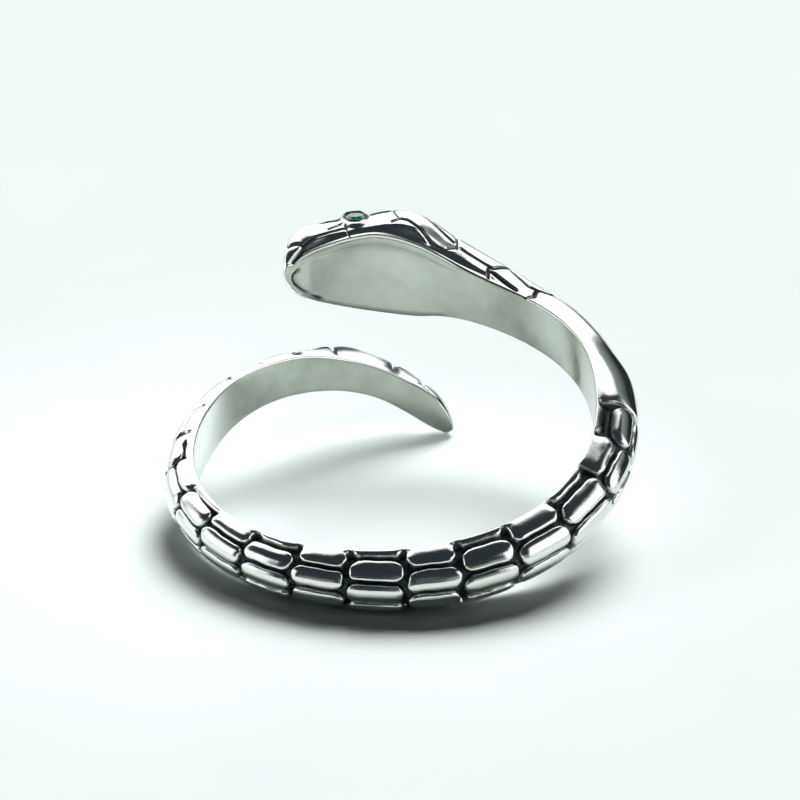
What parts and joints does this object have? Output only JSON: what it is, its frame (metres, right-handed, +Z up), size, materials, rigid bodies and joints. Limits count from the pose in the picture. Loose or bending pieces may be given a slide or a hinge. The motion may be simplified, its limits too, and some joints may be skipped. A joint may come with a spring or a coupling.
{
  "type": "finger ring",
  "caption": "Open finger ring in the form of a coiled snake, with raised scales, a pointed tail, a broad head and small green stone eyes.",
  "frame": {"origin": "middle of the bounding box, on the surface that the ring lies on", "axes": "+Z up, close to the axis of the finger; +X to the right and +Y to the back, where the head and the tail lie one above the other"},
  "size_m": [0.0212, 0.0216, 0.0108],
  "materials": {
    "silver": "polished silver, blackened in the grooves",
    "eye_stone": "cut and polished green stone"
  },
  "bodies": {
    "root": {"snake_body": "silver", "eye_left": "eye_stone", "eye_right": "eye_stone"}
  },
  "joints": []
}
